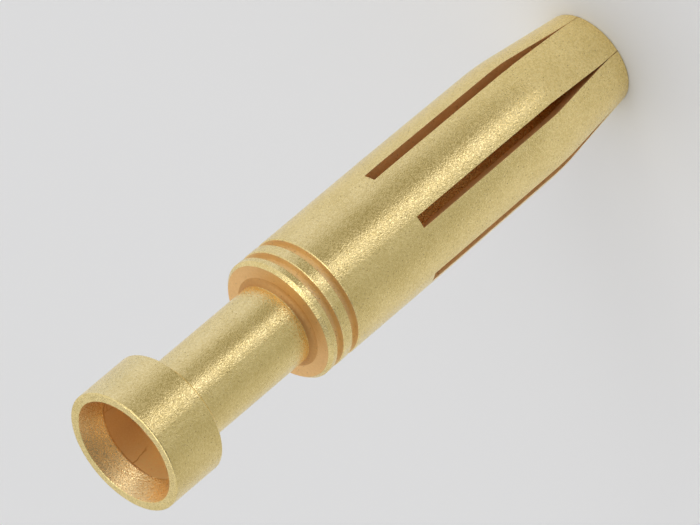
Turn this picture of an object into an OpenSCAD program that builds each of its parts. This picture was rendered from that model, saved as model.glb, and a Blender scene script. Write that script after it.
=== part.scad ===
// Crimp socket contact, turned from one bar, with spring tines sawn into its front end.
// It stands on the tip of its tines, with the mouth for the wire at the top.
// The origin is the centre of the tip face, and Z runs along the axis.

/* [Body] */
// Length from the tip to the mouth
total_len = 22.8; // [20:0.1:30]
// Diameter of the body
body_d = 4.5; // [4.2:0.05:5]
// Depth of the shoulder below the mouth
shoulder_depth = 7.35; // [4:0.05:9]
// Solid metal between the points of the two bores
web = 1.75; // [0.5:0.05:3]

/* [Wire end] */
// Diameter of the collar at the mouth
collar_d = 4.5; // [4.2:0.05:5]
// Length of the collar
collar_len = 2.2; // [1.5:0.05:4]
// Diameter of the neck that is crimped
neck_d = 2.98; // [2.4:0.02:3.4]
// Diameter of the funnel at the mouth
funnel_d = 3.84; // [3.4:0.02:4.1]
// Depth of the funnel below the mouth
funnel_depth = 0.8; // [0.3:0.05:1.2]
// Diameter of the cup that takes the end of the insulation
cup_d = 3.14; // [2.4:0.02:3.3]
// Depth of the cup's straight wall below the mouth
cup_depth = 1.9; // [1.3:0.05:2]
// Diameter of the wire bore
wire_d = 1.75; // [1.1:0.05:2.2]
// Depth of the straight wire bore below the mouth
wire_depth = 8.6; // [6:0.1:10]

/* [Ring grooves] */
// Number of ring grooves that mark the wire size
groove_count = 2; // [1:1:3]
// Width of a groove
groove_w = 0.3; // [0.15:0.01:0.45]
// Depth of a groove
groove_depth = 0.25; // [0.1:0.01:0.4]
// Land from the shoulder to the first groove
first_land = 0.34; // [0.2:0.01:0.6]
// Land between two grooves
groove_land = 0.42; // [0.2:0.01:0.6]

/* [Socket] */
// Diameter of the straight socket bore
socket_d = 3.36; // [2.8:0.02:3.7]
// Diameter of the land that grips the pin
grip_d = 2.36; // [2:0.02:2.6]
// Length of the grip, from the tip
grip_len = 0.8; // [0.4:0.05:1.5]
// Full angle of the drill point at the end of both bores, and of the cup's floor
drill_angle = 118; // [90:1:140]

/* [Tines] */
// Number of slots, cut in pairs across the diameter
slot_count = 6; // [4:2:8]
// Width of a slot as sawn
slot_w = 0.44; // [0.25:0.01:0.55]
// Uncut ring of the socket wall, above the slots
root_ring = 0.6; // [0.2:0.05:2]
// Straight length of the tines, below the slots' upper ends
straight_len = 1; // [0.2:0.1:3]
// Gap left where two tines meet
closed_gap = 0.02; // [0.015:0.005:0.1]
// Height above the tip where the tines bend in
bend_h = 3.65; // [2.5:0.05:5]
// Diameter over the tines at the bend
bend_d = 4.42; // [4.2:0.02:4.5]
// Diameter over the tines at the tip
tip_d = 3.5; // [3.2:0.02:4]

/* [Edges] */
// Radius of the outer edge at the mouth
mouth_round = 0.05; // [0.02:0.01:0.2]
// Chamfer of the inner edge at the mouth
mouth_chamfer = 0.02; // [0.01:0.01:0.1]
// Chamfer of the collar's lower edge
collar_chamfer = 0.06; // [0.02:0.01:0.2]
// Fillet at both ends of the neck
neck_fillet = 0.25; // [0.1:0.01:0.5]
// Chamfer of the shoulder's edge
shoulder_chamfer = 0.12; // [0.05:0.01:0.2]
// Broken edge on both sides of a groove
groove_edge = 0.03; // [0.01:0.005:0.05]
// Radius over the bend of the tines
bend_round = 10; // [3:0.5:15]
// Radius of the outer edge at the tip
tip_round = 0.06; // [0.02:0.01:0.2]
// Chamfer where the pin enters
entry_chamfer = 0.2; // [0.05:0.01:0.3]

/* [Hidden] */
$fn = 144;

// Steps of each arc in the section
arc_steps = 8;

// Room that a saw cut runs past the surface it opens
past = 1;

// Radii
body_r = body_d / 2;
collar_r = collar_d / 2;
neck_r = neck_d / 2;
funnel_r = funnel_d / 2;
cup_r = cup_d / 2;
wire_r = wire_d / 2;
socket_r = socket_d / 2;
grip_r = grip_d / 2;
bend_r = bend_d / 2;
tip_r = tip_d / 2;

// Height of a drill point in a bore of radius r
function point_h(r) = r / tan(drill_angle / 2);

// Heights above the tip, from the mouth down
mouth_z = total_len;
funnel_z = mouth_z - funnel_depth;
cup_z = mouth_z - cup_depth;
bore_z = cup_z - point_h(cup_r - wire_r);
collar_z = mouth_z - collar_len;
shoulder_z = mouth_z - shoulder_depth;
wire_z = mouth_z - wire_depth;
wire_point_z = wire_z - point_h(wire_r);
socket_point_z = wire_point_z - web;
socket_z = socket_point_z - point_h(socket_r);
slot_z = socket_z - root_ring;
lean_z = slot_z - straight_len;

// The bore follows the tines, so its bend has the tines' wall less radius
bore_bend_r = bend_r - (body_r - socket_r);
bore_bend_round = bend_round - (body_r - socket_r);

// Gap between two tines that are pressed in to radius r
function gap(r) = max(closed_gap, slot_w - 2 * PI / slot_count * (body_r - r));

// Radius and height at which the tines meet, or those of the tip where they stay apart
meet_r = max(tip_r, body_r - (slot_w - closed_gap) * slot_count / (2 * PI));
meet_z = bend_h * (meet_r - tip_r) / (bend_r - tip_r);

// Direction from one point to another, in degrees
function heading(from, to) = atan2(to[1] - from[1], to[0] - from[0]);

// An angle brought between -180 and 180 degrees
function wrapped(angle) = angle - 360 * round(angle / 360);

// Points of one corner [r, z, radius], as an arc that runs from its first edge to its second
function corner_points(before, corner, after) =
    let (
        place = [corner[0], corner[1]],
        radius = corner[2],
        first = heading(corner, before),
        sweep = wrapped(heading(corner, after) - first),
        half = abs(sweep) / 2,
        middle = first + sweep / 2,
        centre = place + radius / sin(half) * [cos(middle), sin(middle)],
        reach = sign(sweep) * (90 - half)
    )
    radius == 0 ? [place] : [
        for (k = [0 : arc_steps])
            let (angle = middle + 180 + reach * (1 - 2 * k / arc_steps))
                centre + radius * [cos(angle), sin(angle)]
    ];

// Outline of a list of corners, each with its own radius
function rounded(corners) =
    let (count = len(corners))
    [
        for (k = [0 : count - 1])
            each corner_points(corners[(k + count - 1) % count], corners[k], corners[(k + 1) % count])
    ];

// Corners of the groove with its lower wall at z, from its lower edge to its upper edge
function groove(z) = [
    [body_r, z - groove_edge, 0],
    [body_r - groove_edge, z, 0],
    [body_r - groove_depth, z, 0],
    [body_r - groove_depth, z + groove_w, 0],
    [body_r - groove_edge, z + groove_w, 0],
    [body_r, z + groove_w + groove_edge, 0]
];

// Corners of the socket bore, from its point down to the tip
socket_corners = [
    [0, socket_point_z, 0],
    [socket_r, socket_z, 0],
    [socket_r, lean_z, 0],
    [bore_bend_r, bend_h, bore_bend_round],
    [grip_r, grip_len, 0],
    [grip_r, entry_chamfer, 0],
    [grip_r + entry_chamfer, 0, 0]
];

// Corners of the outside, from the tip up to the mouth
outer_corners = [
    [tip_r, 0, tip_round],
    [bend_r, bend_h, bend_round],
    [body_r, lean_z, 0],
    for (k = [groove_count - 1 : -1 : 0])
        each groove(shoulder_z - first_land - groove_w - k * (groove_w + groove_land)),
    [body_r, shoulder_z - shoulder_chamfer, 0],
    [body_r - shoulder_chamfer, shoulder_z, 0],
    [neck_r, shoulder_z, neck_fillet],
    [neck_r, collar_z, neck_fillet],
    [collar_r - collar_chamfer, collar_z, 0],
    [collar_r, collar_z + collar_chamfer, 0],
    [collar_r, mouth_z, mouth_round]
];

// Corners of the funnel, the cup and the wire bore, from the mouth to the bore's point
wire_corners = [
    [funnel_r + mouth_chamfer, mouth_z, 0],
    [funnel_r, mouth_z - mouth_chamfer, 0],
    [cup_r, funnel_z, 0],
    [cup_r, cup_z, 0],
    [wire_r, bore_z, 0],
    [wire_r, wire_z, 0],
    [0, wire_point_z, 0]
];

// The contact as it comes off the lathe, with its tines already closed
module turned_blank() {
    rotate_extrude()
        polygon(rounded(concat(socket_corners, outer_corners, wire_corners)));
}

// Saw cut across the diameter, as wide at each height as the closed tines leave it
module saw_cut() {
    widths = [
        [slot_w, slot_z],
        [slot_w, lean_z],
        [gap(bend_r), bend_h],
        [gap(meet_r), meet_z],
        [gap(meet_r), -past]
    ];
    one_side = [for (w = widths) [w[0] / 2, w[1]]];
    other_side = [for (k = [len(widths) - 1 : -1 : 0]) [-widths[k][0] / 2, widths[k][1]]];
    rotate([90, 0, 90])
        linear_extrude(height = body_d + 2 * past, center = true)
            polygon(concat(one_side, other_side));
}

module socket_contact() {
    color([0.80, 0.68, 0.38])
        difference() {
            turned_blank();
            for (k = [0 : slot_count / 2 - 1])
                rotate([0, 0, k * 360 / slot_count])
                    saw_cut();
        }
}

socket_contact();
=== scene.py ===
import math

import bpy
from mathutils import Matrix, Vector


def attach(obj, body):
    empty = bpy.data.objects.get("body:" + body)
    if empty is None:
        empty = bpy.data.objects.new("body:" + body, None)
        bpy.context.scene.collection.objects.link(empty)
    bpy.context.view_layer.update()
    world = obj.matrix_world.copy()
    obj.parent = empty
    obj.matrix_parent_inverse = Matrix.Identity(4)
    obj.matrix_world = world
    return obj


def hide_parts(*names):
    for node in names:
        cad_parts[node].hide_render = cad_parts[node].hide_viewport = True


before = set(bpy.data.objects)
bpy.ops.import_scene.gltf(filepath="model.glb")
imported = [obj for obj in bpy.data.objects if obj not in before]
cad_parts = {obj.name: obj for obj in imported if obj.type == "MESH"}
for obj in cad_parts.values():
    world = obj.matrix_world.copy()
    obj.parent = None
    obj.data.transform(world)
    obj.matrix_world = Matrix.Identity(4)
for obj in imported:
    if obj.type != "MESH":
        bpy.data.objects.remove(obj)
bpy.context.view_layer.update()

# One millimetre in metres
MM = 0.001

# Radii in millimetres, as in the part's source; the two largest are a hair less, to stay inside its box
BODY_R = 2.2499
COLLAR_R = 2.2499
NECK_R = 1.49
FUNNEL_R = 1.92
CUP_R = 1.57
WIRE_R = 0.875
SOCKET_R = 1.68
GRIP_R = 1.18
BEND_R = 2.21
TIP_R = 1.75
WALL = BODY_R - SOCKET_R

# Heights above the tip in millimetres, from the mouth down
MOUTH_Z = 22.8
FUNNEL_Z = 22.0
CUP_Z = 20.9
COLLAR_Z = 20.6
BORE_Z = 20.4824
SHOULDER_Z = 15.45
WIRE_Z = 14.2
WIRE_POINT_Z = 13.6742
SOCKET_POINT_Z = 11.9242
SOCKET_Z = 10.9148
SLOT_Z = 10.3148
LEAN_Z = 9.3148
BEND_Z = 3.65
GRIP_Z = 0.8
MEET_Z = 0.785

# Slots between the tines: width as sawn and where the tines meet, and the angle from one to the next
SLOT_COUNT = 6
SLOT_W = 0.44
CLOSED_GAP = 0.02
SECTOR = math.tau / SLOT_COUNT

# Ring grooves: heights of their lower walls, their sizes, and the part of the body that they lie in
GROOVE_HEIGHTS = (14.09, 14.81)
GROOVE_W = 0.3
GROOVE_DEPTH = 0.25
GROOVE_EDGE = 0.03
GROOVES_LOW = 14.0
GROOVES_HIGH = 15.2

# Rounds, fillets and chamfers in millimetres
MOUTH_ROUND = 0.05
MOUTH_CHAMFER = 0.02
COLLAR_CHAMFER = 0.06
NECK_FILLET = 0.25
SHOULDER_CHAMFER = 0.12
BEND_ROUND = 10
TIP_ROUND = 0.06
ENTRY_CHAMFER = 0.2

# Steps of an arc in the section, and the parts that its straight edges are divided into
ARC_STEPS = 8
TIP_STEPS = 6
STRAIGHT_PARTS = 3
LEAN_PARTS = 6
TAPER_PARTS = 6
GRIP_PARTS = 5
ENTRY_PARTS = 6

# The funnel and the cup each have a narrow ring at the edge between them, one part in this many
FUNNEL_PARTS = 30
CUP_PARTS = 40

# Columns of the lathe mesh from slot to slot, and the angle from a slot's edge to the next column
SECTOR_COLUMNS = 18
EDGE_COLUMN = math.radians(1.2)

# Distances in millimetres below which two points become one, or a point counts as on a line
MERGE = 0.0005
NEAR = 0.001

# Broken edges: width in millimetres, steps, and the least angle between the faces beside one
BREAK_W = 0.014
BREAK_STEPS = 2
BREAK_ANGLE = math.radians(28)

# Largest angle that is shaded smooth, and how strongly large faces keep their own direction
SMOOTH_ANGLE = math.radians(50)
FLAT_WEIGHT = 60

# Platings: name, light and dark tone, colour of pits, least and most roughness, grain in millimetres
PLATINGS = [
    ("gold_plating", (1.00, 0.81, 0.38), (0.83, 0.65, 0.265), (0.48, 0.35, 0.15), 0.05, 0.37, 0.007),
    ("socket_plating", (0.87, 0.53, 0.19), (0.82, 0.49, 0.16), (0.36, 0.22, 0.09), 0.26, 0.36, 0.012),
    ("corner_plating", (0.87, 0.575, 0.265), (0.81, 0.52, 0.23), (0.50, 0.32, 0.14), 0.50, 0.60, 0.008),
    ("groove_plating", (1.00, 0.79, 0.46), (0.96, 0.73, 0.40), (0.55, 0.40, 0.18), 0.42, 0.54, 0.008),
    ("funnel_plating", (0.96, 0.73, 0.39), (0.90, 0.65, 0.32), (0.60, 0.36, 0.15), 0.10, 0.42, 0.010),
    ("cup_plating", (1.00, 0.83, 0.47), (1.00, 0.77, 0.41), (0.78, 0.54, 0.27), 0.60, 0.70, 0.004),
    ("slot_plating", (0.97, 0.67, 0.33), (0.92, 0.61, 0.28), (0.36, 0.22, 0.09), 0.56, 0.64, 0.008),
    # The fillets' tones are darkened as painted shade in the corners at both ends of the neck
    ("fillet_painted_shade", (0.70, 0.40, 0.14), (0.64, 0.35, 0.12), (0.42, 0.25, 0.10), 0.50, 0.60, 0.008),
]
OUTSIDE, SOCKET, CORNER, GROOVE, FUNNEL, CUP, SLOT, FILLET = range(len(PLATINGS))

# Tint of the slot walls where they are seen at a glancing angle
SLOT_TINT = (0.40, 0.15, 0.04)

# Room in millimetres by which the middle of a face may lie off the surface that it belongs to
FACE_ROOM = 0.01
CUP_ROOM = 0.03
SKIN = 0.02

# Cosines above which a face counts as turned outwards or inwards, as a funnel wall, and as straight
TURNED = 0.5
FUNNEL_TURNED = 0.8
STRAIGHT = 0.99

# Scales of the plating's textures, in cells to a metre
GRAIN_SCALE = 27000.0
SPECKLE_SCALE = 12000.0
PIT_SCALE = 6200.0
COARSE_SCALE = 3200.0
PATCH_SCALE = 900.0

# Shares of the waves and of the pits in the height, where the grain itself is one
COARSE_HEIGHT = 0.3
SPECKLE_HEIGHT = 0.8
PIT_HEIGHT = 0.8

# Shares of the broad patches and of the fine speckle in the tone
BROAD_TONE = 0.35
FINE_TONE = 0.65

# Values of the grain at which the plating is smoothest and roughest
SMOOTH_GRAIN = 0.42
ROUGH_GRAIN = 0.51

# Ramps from textures to masks
BLACK = (0, 0, 0)
WHITE = (1, 1, 1)
PIT_RAMP = [(0.0, WHITE), (0.08, WHITE), (0.14, BLACK), (1.0, BLACK)]
BROAD_RAMP = [(0.36, BLACK), (0.64, WHITE)]
FINE_RAMP = [(0.36, BLACK), (0.62, WHITE)]
LOOSE_RAMP = [(0.0, WHITE), (0.003, WHITE), (0.014, BLACK)]
ALONG_RAMP = [(0.0, WHITE), (0.015, WHITE), (0.05, BLACK)]
GAP_RAMP = [(0.42, BLACK), (0.58, WHITE)]

# Thin broken dark lines: wobble in millimetres, scales of wobble, lines and gaps, detail of the noise,
# and colour
WOBBLE = 0.5
WOBBLE_SCALE = 1600.0
LINE_SCALE = 480.0
GAP_SCALE = 700.0
LINE_DETAIL = 2.0
LINE_COLOUR = (0.62, 0.36, 0.15)

# Painted light and shade across the mouth: the funnel's and cup's own tones are the lit side, and these
# darker colours are the painted shade on the other side; where the shade starts and is full, in
# millimetres along X, and its colours
PAINTED_SHADE_START = -0.6
PAINTED_SHADE_END = 1.0
FUNNEL_PAINTED_SHADE = (0.85, 0.55, 0.24)
CUP_PAINTED_SHADE = (0.75, 0.51, 0.27)

# Round floor plate: radius and centre in millimetres, sides, and finish
FLOOR_R = 31
FLOOR_CENTRE = (6.53, 22.05)
FLOOR_SIDES = 96
FLOOR_COLOUR = (0.85, 0.85, 0.85)
FLOOR_ROUGHNESS = 0.8

# Colours of the studio round the object, by share of a turn from the azimuth behind it in degrees
RING_START = 73.5
LOWER_RING = [
    (0.000, (0.60, 0.59, 0.57)),
    (0.100, (0.58, 0.57, 0.54)),
    (0.270, (0.57, 0.56, 0.52)),
    (0.333, (0.47, 0.46, 0.40)),
    (0.420, (0.55, 0.55, 0.52)),
    (0.482, (0.56, 0.56, 0.55)),
    (0.508, (1.60, 1.60, 1.80)),
    (0.527, (1.60, 1.60, 1.80)),
    (0.555, (0.42, 0.40, 0.35)),
    (0.610, (0.36, 0.34, 0.27)),
    (0.650, (0.44, 0.43, 0.38)),
    (0.700, (0.73, 0.74, 0.84)),
    (0.760, (0.77, 0.80, 0.97)),
    (0.860, (0.68, 0.74, 0.95)),
    (1.000, (0.60, 0.59, 0.57)),
]
UPPER_RING = [
    (0.00, (0.61, 0.61, 0.61)),
    (0.10, (0.66, 0.66, 0.66)),
    (0.18, (0.76, 0.76, 0.76)),
    (0.26, (0.52, 0.52, 0.52)),
    (0.34, (0.27, 0.27, 0.27)),
    (0.46, (0.27, 0.27, 0.27)),
    (0.54, (0.40, 0.40, 0.40)),
    (0.62, (0.66, 0.66, 0.68)),
    (0.70, (0.74, 0.74, 0.76)),
    (0.80, (0.80, 0.80, 0.82)),
    (0.90, (0.72, 0.72, 0.74)),
    (1.00, (0.61, 0.61, 0.61)),
]

# Sines of the heights below the horizon at which the lower ring ends and the upper one is full
LOWER_END = -0.38
UPPER_START = -0.16

# Soft boxes: azimuth and height of the middle, reach of the full and of the faded part, and level
SOFT_BOXES = [
    (73.5, 70.0, 10.0, 22.0, 2.2),
    (-140.0, 56.0, 6.0, 16.0, 0.9),
    (-82.0, 57.0, 10.0, 20.0, 2.0),
    (-61.0, 22.0, 4.0, 13.0, 2.20),
]

# Camera: sensor, lens and place in millimetres, turn in degrees, and nearest and farthest sight in metres
SENSOR_W = 36
LENS = 411.43
CAMERA_PLACE = (-62.7955, -211.8321, 143.2816)
CAMERA_TURN = (-47.4008, 40.9986, -165.4002)
NEAREST = 0.01
FARTHEST = 10


# Small helpers for selecting, for closing a mesh and for outlines

def deselect_everything():
    if bpy.context.object and bpy.context.object.mode != "OBJECT":
        bpy.ops.object.mode_set(mode="OBJECT")
    bpy.ops.object.select_all(action="DESELECT")


def take_up(piece):
    """Leaves one piece selected and active."""
    deselect_everything()
    piece.select_set(True)
    bpy.context.view_layer.objects.active = piece


def select_in_mesh(mesh, edges=(), faces=()):
    """Selects these edges and faces alone, in edit mode."""
    bpy.ops.mesh.select_all(action="DESELECT")
    bpy.ops.object.mode_set(mode="OBJECT")
    for index in edges:
        mesh.edges[index].select = True
    for index in faces:
        mesh.polygons[index].select = True
    bpy.ops.object.mode_set(mode="EDIT")


def close_mesh():
    """Merges what meets in the mesh being edited, turns its faces outwards and leaves edit mode."""
    bpy.ops.mesh.select_all(action="SELECT")
    bpy.ops.mesh.remove_doubles(threshold=MERGE)
    bpy.ops.mesh.normals_make_consistent(inside=False)
    bpy.ops.object.mode_set(mode="OBJECT")


def rounded_corner(before, corner, after, radius, steps):
    """Points of a tangent arc at a corner of the section, from its first edge to its second."""
    place = Vector(corner)
    first = (Vector(before) - place).normalized()
    second = (Vector(after) - place).normalized()
    half = first.angle(second) / 2
    centre = place + (first + second).normalized() * radius / math.sin(half)
    start = place + first * radius / math.tan(half) - centre
    end = place + second * radius / math.tan(half) - centre
    sweep = start.angle_signed(end)
    points = []
    for k in range(steps + 1):
        turn = -sweep * k / steps
        points.append((
            centre.x + start.x * math.cos(turn) - start.y * math.sin(turn),
            centre.y + start.x * math.sin(turn) + start.y * math.cos(turn),
        ))
    return points


def between(start, end, parts):
    """Points that divide a straight edge of the section, without its ends."""
    return [
        (start[0] + (end[0] - start[0]) * k / parts, start[1] + (end[1] - start[1]) * k / parts)
        for k in range(1, parts)
    ]


def slot_gap(z):
    """Width of a slot at a height, as the closed tines leave it."""
    bend_gap = SLOT_W - SECTOR * (BODY_R - BEND_R)
    marks = [(LEAN_Z, SLOT_W), (BEND_Z, bend_gap), (MEET_Z, CLOSED_GAP)]
    if z >= LEAN_Z:
        return SLOT_W
    for (high, wide), (low, narrow) in zip(marks, marks[1:]):
        if z >= low:
            return narrow + (wide - narrow) * (z - low) / (high - low)
    return CLOSED_GAP


# Section of the turned contact

def tine_bore():
    """The bore side of a tine, from the slot's upper end down to the tip face."""
    root = (SOCKET_R, SLOT_Z)
    lean = (SOCKET_R, LEAN_Z)
    bend = (BEND_R - WALL, BEND_Z)
    grip = (GRIP_R, GRIP_Z)
    entry = (GRIP_R, ENTRY_CHAMFER)
    face = (GRIP_R + ENTRY_CHAMFER, 0)
    arc = rounded_corner(lean, bend, grip, BEND_ROUND - WALL, ARC_STEPS)
    return (
        [root] + between(root, lean, STRAIGHT_PARTS) + [lean] + between(lean, arc[0], LEAN_PARTS) + arc
        + between(arc[-1], grip, GRIP_PARTS) + [grip, entry] + between(entry, face, ENTRY_PARTS) + [face]
    )


def tine_outside():
    """The outside of a tine, from the tip face up to the slot's upper end."""
    face = (GRIP_R + ENTRY_CHAMFER, 0)
    tip = (TIP_R, 0)
    bend = (BEND_R, BEND_Z)
    lean = (BODY_R, LEAN_Z)
    root = (BODY_R, SLOT_Z)
    edge = rounded_corner(face, tip, bend, TIP_ROUND, TIP_STEPS)
    arc = rounded_corner(tip, bend, lean, BEND_ROUND, ARC_STEPS)
    return (
        edge + between(edge[-1], arc[0], TAPER_PARTS) + arc
        + between(arc[-1], lean, LEAN_PARTS) + [lean] + between(lean, root, STRAIGHT_PARTS) + [root]
    )


def ring_groove(low):
    """A groove with its lower wall at that height, from its lower edge to its upper edge."""
    high = low + GROOVE_W
    floor_r = BODY_R - GROOVE_DEPTH
    edge_r = BODY_R - GROOVE_EDGE
    return [
        (BODY_R, low - GROOVE_EDGE), (edge_r, low), (floor_r, low),
        (floor_r, high), (edge_r, high), (BODY_R, high + GROOVE_EDGE),
    ]


def section():
    """Outline of half the contact as (radius, height), from one end of the axis to the other."""
    neck_low = (NECK_R, SHOULDER_Z)
    neck_high = (NECK_R, COLLAR_Z)
    shoulder_low = (BODY_R, SHOULDER_Z - SHOULDER_CHAMFER)
    shoulder_edge = (BODY_R - SHOULDER_CHAMFER, SHOULDER_Z)
    collar_edge = (COLLAR_R - COLLAR_CHAMFER, COLLAR_Z)
    collar_low = (COLLAR_R, COLLAR_Z + COLLAR_CHAMFER)
    rim = (FUNNEL_R + MOUTH_CHAMFER, MOUTH_Z)
    funnel_top = (FUNNEL_R, MOUTH_Z - MOUTH_CHAMFER)
    funnel_foot = (CUP_R, FUNNEL_Z)
    cup_floor = (CUP_R, CUP_Z)
    low_fillet = rounded_corner(shoulder_edge, neck_low, neck_high, NECK_FILLET, ARC_STEPS)
    high_fillet = rounded_corner(neck_low, neck_high, collar_edge, NECK_FILLET, ARC_STEPS)
    mouth = rounded_corner(collar_low, (COLLAR_R, MOUTH_Z), rim, MOUTH_ROUND, ARC_STEPS)
    grooves = [point for low in GROOVE_HEIGHTS for point in ring_groove(low)]
    return (
        [(0, SOCKET_POINT_Z), (SOCKET_R, SOCKET_Z)]
        + tine_bore() + tine_outside() + grooves
        + [shoulder_low, shoulder_edge] + low_fillet + high_fillet
        + [collar_edge, collar_low] + mouth
        + [rim, funnel_top] + between(funnel_top, funnel_foot, FUNNEL_PARTS)[-1:] + [funnel_foot]
        + between(funnel_foot, cup_floor, CUP_PARTS)[:1] + [cup_floor]
        + [(WIRE_R, BORE_Z), (WIRE_R, WIRE_Z), (0, WIRE_POINT_Z)]
    )


# The contact itself

def turn_blank():
    """Lathe mesh of the section, in millimetres, with a whole number of columns to each sector."""
    points = section()
    deselect_everything()
    bpy.ops.mesh.primitive_plane_add(size=1, location=(0, 0, 0))
    contact = bpy.context.object
    contact.name = "contact_body"
    contact.data.name = "contact_body"
    bpy.ops.object.mode_set(mode="EDIT")
    bpy.ops.mesh.select_all(action="SELECT")
    bpy.ops.mesh.merge(type="CENTER")
    start = Vector((points[0][0], 0, points[0][1]))
    bpy.ops.transform.translate(value=start)
    for here, there in zip(points, points[1:]):
        step = Vector((there[0] - here[0], 0, there[1] - here[1]))
        bpy.ops.mesh.extrude_vertices_move(TRANSFORM_OT_translate={"value": step})
    bpy.ops.mesh.select_all(action="SELECT")
    bpy.ops.mesh.spin(
        steps=SLOT_COUNT * SECTOR_COLUMNS, angle=math.tau, center=(0, 0, 0), axis=(0, 0, 1)
    )
    close_mesh()
    return contact


def column_angle(column, half_slot):
    """Azimuth within one sector of a mesh column, for a slot of that half angle at its ends."""
    last = SECTOR_COLUMNS - 1
    if column == 0:
        return 0.0
    if column == 1:
        return half_slot
    if column == last:
        return SECTOR - half_slot
    room = SECTOR - 2 * (half_slot + EDGE_COLUMN)
    share = (column - 2) / (last - 3)
    return half_slot + EDGE_COLUMN + room * share


def set_columns(contact):
    """Turns the columns about the axis, so that two of them run along the edges of every slot."""
    step = SECTOR / SECTOR_COLUMNS
    for vertex in contact.data.vertices:
        radius = math.hypot(vertex.co.x, vertex.co.y)
        if radius < NEAR:
            continue
        index = round(math.atan2(vertex.co.y, vertex.co.x) / step) % (SLOT_COUNT * SECTOR_COLUMNS)
        sector, column = divmod(index, SECTOR_COLUMNS)
        z = vertex.co.z
        if z < SLOT_Z + NEAR:
            half_slot = math.asin(slot_gap(z) / 2 / radius)
        elif z < SOCKET_POINT_Z and radius < SOCKET_R + NEAR:
            half_slot = math.asin(SLOT_W / 2 / SOCKET_R)
        else:
            half_slot = math.asin(SLOT_W / 2 / BODY_R)
        angle = sector * SECTOR + column_angle(column, half_slot)
        vertex.co.x = radius * math.cos(angle)
        vertex.co.y = radius * math.sin(angle)


def slot_faces(mesh):
    """Faces of the blank that the slots take away."""
    faces = []
    for face in mesh.polygons:
        if face.center.z > SLOT_Z - NEAR:
            continue
        radius = math.hypot(face.center.x, face.center.y)
        edge = math.asin(min(1.0, slot_gap(face.center.z) / 2 / radius))
        angle = math.atan2(face.center.y, face.center.x)
        if abs(angle - SECTOR * round(angle / SECTOR)) < edge:
            faces.append(face.index)
    return faces


def slot_edges(mesh, middle):
    """Open edges of the slot at that azimuth, in the bore and outside, without those in the tip face."""
    uses = {}
    for face in mesh.polygons:
        for key in face.edge_keys:
            uses[key] = uses.get(key, 0) + 1
    edges = []
    for edge in mesh.edges:
        a, b = (mesh.vertices[v].co for v in edge.vertices)
        if uses.get(edge.key, 0) != 1 or max(a.z, b.z) < MERGE:
            continue
        centre = (a + b) / 2
        away = math.atan2(centre.y, centre.x) - middle
        away -= math.tau * round(away / math.tau)
        if abs(away) < SECTOR / 2:
            edges.append(edge.index)
    return edges


def cut_slots(contact):
    """Opens the six slots and gives each its two walls and its upper end."""
    mesh = contact.data
    take_up(contact)
    bpy.ops.object.mode_set(mode="EDIT")
    bpy.ops.mesh.select_mode(type="FACE")
    select_in_mesh(mesh, faces=slot_faces(mesh))
    bpy.ops.mesh.delete(type="FACE")
    bpy.ops.mesh.select_mode(type="EDGE")
    for slot in range(SLOT_COUNT):
        bpy.ops.object.mode_set(mode="OBJECT")
        edges = slot_edges(mesh, slot * SECTOR)
        bpy.ops.object.mode_set(mode="EDIT")
        select_in_mesh(mesh, edges=edges)
        bpy.ops.mesh.bridge_edge_loops()
    close_mesh()


def break_edges(contact):
    """Gives every sharp edge a small round, then smooth shading that leaves the faces flat."""
    take_up(contact)
    rounds = contact.modifiers.new("broken_edges", "BEVEL")
    rounds.limit_method = "ANGLE"
    rounds.angle_limit = BREAK_ANGLE
    rounds.width = BREAK_W
    rounds.segments = BREAK_STEPS
    rounds.use_clamp_overlap = True
    bpy.ops.object.modifier_apply(modifier=rounds.name)
    bpy.ops.object.shade_smooth_by_angle(angle=SMOOTH_ANGLE)
    normals = contact.modifiers.new("flat_faces", "WEIGHTED_NORMAL")
    normals.keep_sharp = True
    normals.weight = FLAT_WEIGHT
    bpy.ops.object.modifier_apply(modifier=normals.name)


def to_metres(contact):
    take_up(contact)
    contact.scale = (MM, MM, MM)
    bpy.ops.object.transform_apply(location=False, rotation=False, scale=True)


# Nodes that the materials and the studio share

def add_node(tree, kind, **sockets):
    """A node with its unlinked sockets set; a socket's spaces are written as underscores."""
    node = tree.nodes.new(kind)
    for name, value in sockets.items():
        node.inputs[name.replace("_", " ")].default_value = value
    return node


def math_node(tree, operation, first, second=None):
    """A calculation with one or two values, each a socket or a number."""
    node = tree.nodes.new("ShaderNodeMath")
    node.operation = operation
    for socket, value in zip(node.inputs, (first, second)):
        if value is None:
            continue
        if isinstance(value, (int, float)):
            socket.default_value = value
        else:
            tree.links.new(value, socket)
    return node.outputs[0]


def weighted_sum(tree, first, first_share, second, second_share):
    """Two values added up, each times its share."""
    return math_node(
        tree, "ADD",
        math_node(tree, "MULTIPLY", first, first_share),
        math_node(tree, "MULTIPLY", second, second_share),
    )


def ramp_node(tree, factor, stops):
    """A colour ramp with its stops as (place, colour)."""
    node = tree.nodes.new("ShaderNodeValToRGB")
    elements = node.color_ramp.elements
    while len(elements) < len(stops):
        elements.new(0.5)
    for element, (place, colour) in zip(elements, stops):
        element.position = place
        element.color = (*colour, 1)
    tree.links.new(factor, node.inputs["Fac"])
    return node.outputs["Color"]


def range_node(tree, value, low, high, shape="LINEAR", **sockets):
    """A value that runs from 0 at low to 1 at high, or between other ends that are given."""
    node = add_node(tree, "ShaderNodeMapRange", From_Min=low, From_Max=high, **sockets)
    node.interpolation_type = shape
    tree.links.new(value, node.inputs["Value"])
    return node.outputs["Result"]


def mix_colours(tree, factor, first, second):
    """A mix of two colours, each a socket or a constant."""
    node = tree.nodes.new("ShaderNodeMix")
    node.data_type = "RGBA"
    tree.links.new(factor, node.inputs["Factor"])
    for socket, colour in ((node.inputs["A"], first), (node.inputs["B"], second)):
        if isinstance(colour, tuple):
            socket.default_value = (*colour, 1)
        else:
            tree.links.new(colour, socket)
    return node.outputs["Result"]


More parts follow.
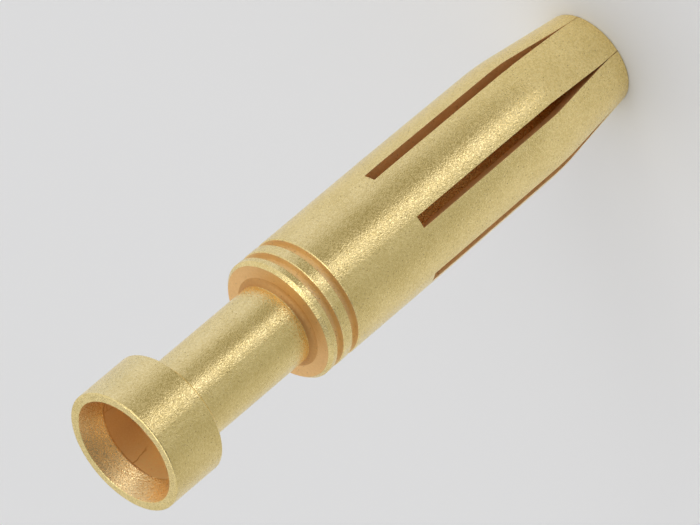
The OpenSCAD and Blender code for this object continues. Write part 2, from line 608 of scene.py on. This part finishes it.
def new_group(name, given, results):
    """A node group with its inputs and outputs named, all of them single values."""
    tree = bpy.data.node_groups.new(name, "ShaderNodeTree")
    for socket in given:
        tree.interface.new_socket(socket, in_out="INPUT", socket_type="NodeSocketFloat")
    for socket in results:
        tree.interface.new_socket(socket, in_out="OUTPUT", socket_type="NodeSocketFloat")
    return tree, tree.nodes.new("NodeGroupInput"), tree.nodes.new("NodeGroupOutput")


# Materials

def satin_grain_group():
    """Fine plated grain with speckle: a height for the bump, and masks for pits, tone and gloss."""
    tree, given, result = new_group("satin_grain", ["Grain Scale"], ["Height", "Pits", "Tone", "Grain"])
    links = tree.links
    place = tree.nodes.new("ShaderNodeTexCoord").outputs["Object"]

    def noise(scale, detail, rough=0.5):
        node = add_node(tree, "ShaderNodeTexNoise", Detail=detail, Roughness=rough)
        links.new(place, node.inputs["Vector"])
        if isinstance(scale, float):
            node.inputs["Scale"].default_value = scale
        else:
            links.new(scale, node.inputs["Scale"])
        return node.outputs["Fac"]

    grain = noise(given.outputs["Grain Scale"], detail=0.0)
    coarse = noise(COARSE_SCALE, detail=1.0)
    speckle = noise(SPECKLE_SCALE, detail=1.0)
    patches = noise(PATCH_SCALE, detail=4.0, rough=0.6)
    pit_spots = add_node(tree, "ShaderNodeTexVoronoi", Scale=PIT_SCALE)
    links.new(place, pit_spots.inputs["Vector"])
    pits = ramp_node(tree, pit_spots.outputs["Distance"], PIT_RAMP)
    waves = weighted_sum(tree, coarse, COARSE_HEIGHT, speckle, SPECKLE_HEIGHT)
    height = math_node(tree, "ADD", grain, waves)
    sunk = math_node(tree, "SUBTRACT", height, math_node(tree, "MULTIPLY", pits, PIT_HEIGHT))
    broad = ramp_node(tree, patches, BROAD_RAMP)
    fine = ramp_node(tree, speckle, FINE_RAMP)
    tone = weighted_sum(tree, broad, BROAD_TONE, fine, FINE_TONE)
    links.new(sunk, result.inputs["Height"])
    links.new(pits, result.inputs["Pits"])
    links.new(tone, result.inputs["Tone"])
    links.new(grain, result.inputs["Grain"])
    return tree


def painted_shade_and_lines_group():
    """Masks: painted shade that darkens one side of the mouth, and thin broken dark lines at and below an
    edge.
    """
    tree, given, result = new_group("painted_shade_and_lines", ["Edge Height"], ["Lines", "Painted Shade"])
    links = tree.links
    place = tree.nodes.new("ShaderNodeTexCoord").outputs["Object"]
    wobble = add_node(tree, "ShaderNodeTexNoise", Scale=WOBBLE_SCALE, Detail=LINE_DETAIL)
    links.new(place, wobble.inputs["Vector"])
    drift = tree.nodes.new("ShaderNodeVectorMath")
    drift.operation = "MULTIPLY_ADD"
    drift.inputs[1].default_value = (WOBBLE * MM, WOBBLE * MM, WOBBLE * MM)
    links.new(wobble.outputs["Color"], drift.inputs[0])
    links.new(place, drift.inputs[2])
    cells = add_node(tree, "ShaderNodeTexVoronoi", Scale=LINE_SCALE)
    cells.feature = "DISTANCE_TO_EDGE"
    links.new(drift.outputs[0], cells.inputs["Vector"])
    loose = ramp_node(tree, cells.outputs["Distance"], LOOSE_RAMP)
    parts = tree.nodes.new("ShaderNodeSeparateXYZ")
    links.new(place, parts.inputs[0])
    above = math_node(tree, "SUBTRACT", parts.outputs["Z"], given.outputs["Edge Height"])
    away = math_node(tree, "DIVIDE", math_node(tree, "ABSOLUTE", above), MM)
    along = ramp_node(tree, away, ALONG_RAMP)
    below = math_node(tree, "LESS_THAN", above, 0.0)
    gaps = add_node(tree, "ShaderNodeTexNoise", Scale=GAP_SCALE, Detail=LINE_DETAIL)
    links.new(place, gaps.inputs["Vector"])
    kept = ramp_node(tree, gaps.outputs["Fac"], GAP_RAMP)
    lines = math_node(tree, "MAXIMUM", math_node(tree, "MULTIPLY", loose, below), along)
    # Painted shade: a smooth ramp along X that darkens one side of the mouth
    shade_mask = range_node(tree, parts.outputs["X"], PAINTED_SHADE_START * MM, PAINTED_SHADE_END * MM, shape="SMOOTHSTEP")
    links.new(math_node(tree, "MULTIPLY", lines, kept), result.inputs["Lines"])
    links.new(shade_mask, result.inputs["Painted Shade"])
    return tree


def add_painted_shade_and_lines(material, shade_and_lines_tree, edge_height, shade_colour):
    """Lays the painted shade on one side, and the thin dark lines, over a plating's own colour."""
    tree = material.node_tree
    base = tree.nodes["Principled BSDF"].inputs["Base Color"]
    plating = base.links[0].from_socket
    masks = tree.nodes.new("ShaderNodeGroup")
    masks.node_tree = shade_and_lines_tree
    masks.inputs["Edge Height"].default_value = edge_height
    # Painted shade: the plating blends into the darker colour on one side
    shaded = mix_colours(tree, masks.outputs["Painted Shade"], plating, shade_colour)
    tree.links.new(mix_colours(tree, masks.outputs["Lines"], shaded, LINE_COLOUR), base)


def plated_material(grain, name, light, dark, pit_colour, smooth, rough, depth):
    """Satin plating over a turned surface; light and dark are the two tones that it drifts between."""
    material = bpy.data.materials.new(name)
    material.use_nodes = True
    tree = material.node_tree
    links = tree.links
    shader = tree.nodes["Principled BSDF"]
    shader.inputs["Metallic"].default_value = 1.0
    surface = tree.nodes.new("ShaderNodeGroup")
    surface.node_tree = grain
    surface.inputs["Grain Scale"].default_value = GRAIN_SCALE
    tones = mix_colours(tree, surface.outputs["Tone"], dark, light)
    pitted = mix_colours(tree, surface.outputs["Pits"], tones, pit_colour)
    links.new(pitted, shader.inputs["Base Color"])
    gloss = range_node(
        tree, surface.outputs["Grain"], SMOOTH_GRAIN, ROUGH_GRAIN, To_Min=smooth, To_Max=rough
    )
    links.new(gloss, shader.inputs["Roughness"])
    bump = add_node(tree, "ShaderNodeBump", Strength=1.0, Distance=depth * MM)
    links.new(surface.outputs["Height"], bump.inputs["Height"])
    links.new(bump.outputs["Normal"], shader.inputs["Normal"])
    return material


def plating_zone(face):
    """Which plating a face has, by its place and by how far it is turned outwards."""
    radius = math.hypot(face.center.x, face.center.y) / MM
    z = face.center.z / MM
    outward = face.normal.x * face.center.x + face.normal.y * face.center.y
    facing = outward / (radius * MM) if radius > NEAR else 0.0
    if z < SOCKET_POINT_Z + FACE_ROOM:
        if z < SKIN or facing > TURNED:
            return OUTSIDE
        return SOCKET if facing < -TURNED else SLOT
    if z > FUNNEL_Z - FACE_ROOM and radius < FUNNEL_R + FACE_ROOM and facing < -FUNNEL_TURNED:
        return FUNNEL
    if z > WIRE_Z and radius < CUP_R + CUP_ROOM and facing < TURNED:
        return CUP
    if GROOVES_LOW < z < GROOVES_HIGH and radius > SOCKET_R:
        return GROOVE if radius < BODY_R - SKIN else OUTSIDE
    shoulder = abs(z - SHOULDER_Z) < NECK_FILLET and radius < BODY_R - SHOULDER_CHAMFER + FACE_ROOM
    underside = abs(z - COLLAR_Z) < NECK_FILLET and radius < COLLAR_R - COLLAR_CHAMFER + FACE_ROOM
    if facing > STRAIGHT or not (shoulder or underside):
        return OUTSIDE
    # The fillets get the darkened tones of painted shade
    return CORNER if abs(face.normal.z) > STRAIGHT else FILLET


def plate(contact):
    """Gives the contact all its platings, and every face the one of its zone."""
    grain = satin_grain_group()
    shade_and_lines_tree = painted_shade_and_lines_group()
    platings = [plated_material(grain, *plating) for plating in PLATINGS]
    # Painted light and shade across the funnel and cup: their own tones on one side, darker on the other,
    # with thin dark lines at the funnel's foot
    add_painted_shade_and_lines(platings[FUNNEL], shade_and_lines_tree, FUNNEL_Z * MM, FUNNEL_PAINTED_SHADE)
    add_painted_shade_and_lines(platings[CUP], shade_and_lines_tree, FUNNEL_Z * MM, CUP_PAINTED_SHADE)
    slot_shader = platings[SLOT].node_tree.nodes["Principled BSDF"]
    slot_shader.inputs["Specular Tint"].default_value = (*SLOT_TINT, 1)
    for plating in platings:
        contact.data.materials.append(plating)
    for face in contact.data.polygons:
        face.material_index = plating_zone(face)


def floor_material():
    material = bpy.data.materials.new("pale_floor")
    material.use_nodes = True
    shader = material.node_tree.nodes["Principled BSDF"]
    shader.inputs["Base Color"].default_value = (*FLOOR_COLOUR, 1)
    shader.inputs["Roughness"].default_value = FLOOR_ROUGHNESS
    shader.inputs["Specular IOR Level"].default_value = 0.0
    return material


# Floor, light and camera

def add_floor():
    """A round plate that fills the picture; the contact stands near its front edge."""
    deselect_everything()
    bpy.ops.mesh.primitive_circle_add(
        vertices=FLOOR_SIDES, radius=FLOOR_R * MM, fill_type="NGON",
        location=(FLOOR_CENTRE[0] * MM, FLOOR_CENTRE[1] * MM, 0),
    )
    floor = bpy.context.object
    floor.name = "studio_floor"
    bpy.ops.object.transform_apply(location=True, rotation=False, scale=False)
    floor.data.materials.append(floor_material())


def add_world():
    """Soft studio: pale panels with greyer gaps below the horizon, plainer above it, and soft boxes."""
    world = bpy.data.worlds.new("soft_studio")
    bpy.context.scene.world = world
    world.use_nodes = True
    tree = world.node_tree
    links = tree.links
    direction = tree.nodes.new("ShaderNodeTexCoord").outputs["Generated"]
    parts = tree.nodes.new("ShaderNodeSeparateXYZ")
    links.new(direction, parts.inputs[0])
    angle = math_node(tree, "ARCTAN2", parts.outputs["Y"], parts.outputs["X"])
    turned = math_node(tree, "SUBTRACT", angle, math.radians(RING_START))
    share = math_node(tree, "FRACT", math_node(tree, "DIVIDE", turned, math.tau))
    lower = ramp_node(tree, share, LOWER_RING)
    upper = ramp_node(tree, share, UPPER_RING)
    raised = range_node(tree, parts.outputs["Z"], LOWER_END, UPPER_START)
    studio = mix_colours(tree, raised, lower, upper)
    for azimuth, elevation, full, faded, level in SOFT_BOXES:
        turn = math.radians(azimuth)
        rise = math.radians(elevation)
        towards = tree.nodes.new("ShaderNodeVectorMath")
        towards.operation = "DOT_PRODUCT"
        towards.inputs[1].default_value = (
            math.cos(rise) * math.cos(turn), math.cos(rise) * math.sin(turn), math.sin(rise)
        )
        links.new(direction, towards.inputs[0])
        edge = math.cos(math.radians(faded))
        core = math.cos(math.radians(full))
        box = range_node(tree, towards.outputs["Value"], edge, core, shape="SMOOTHSTEP")
        studio = mix_colours(tree, box, studio, (level, level, level))
    links.new(studio, tree.nodes["Background"].inputs["Color"])


def add_camera():
    data = bpy.data.cameras.new("camera")
    camera = bpy.data.objects.new("camera", data)
    bpy.context.scene.collection.objects.link(camera)
    data.sensor_width = SENSOR_W
    data.lens = LENS
    data.clip_start = NEAREST
    data.clip_end = FARTHEST
    camera.location = Vector(CAMERA_PLACE) * MM
    camera.rotation_euler = [math.radians(angle) for angle in CAMERA_TURN]
    bpy.context.scene.camera = camera


contact = turn_blank()
set_columns(contact)
cut_slots(contact)
break_edges(contact)
to_metres(contact)
plate(contact)
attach(contact, "root")
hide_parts("socket_contact")

add_floor()
add_world()
add_camera()
bpy.context.scene.view_settings.view_transform = "Standard"
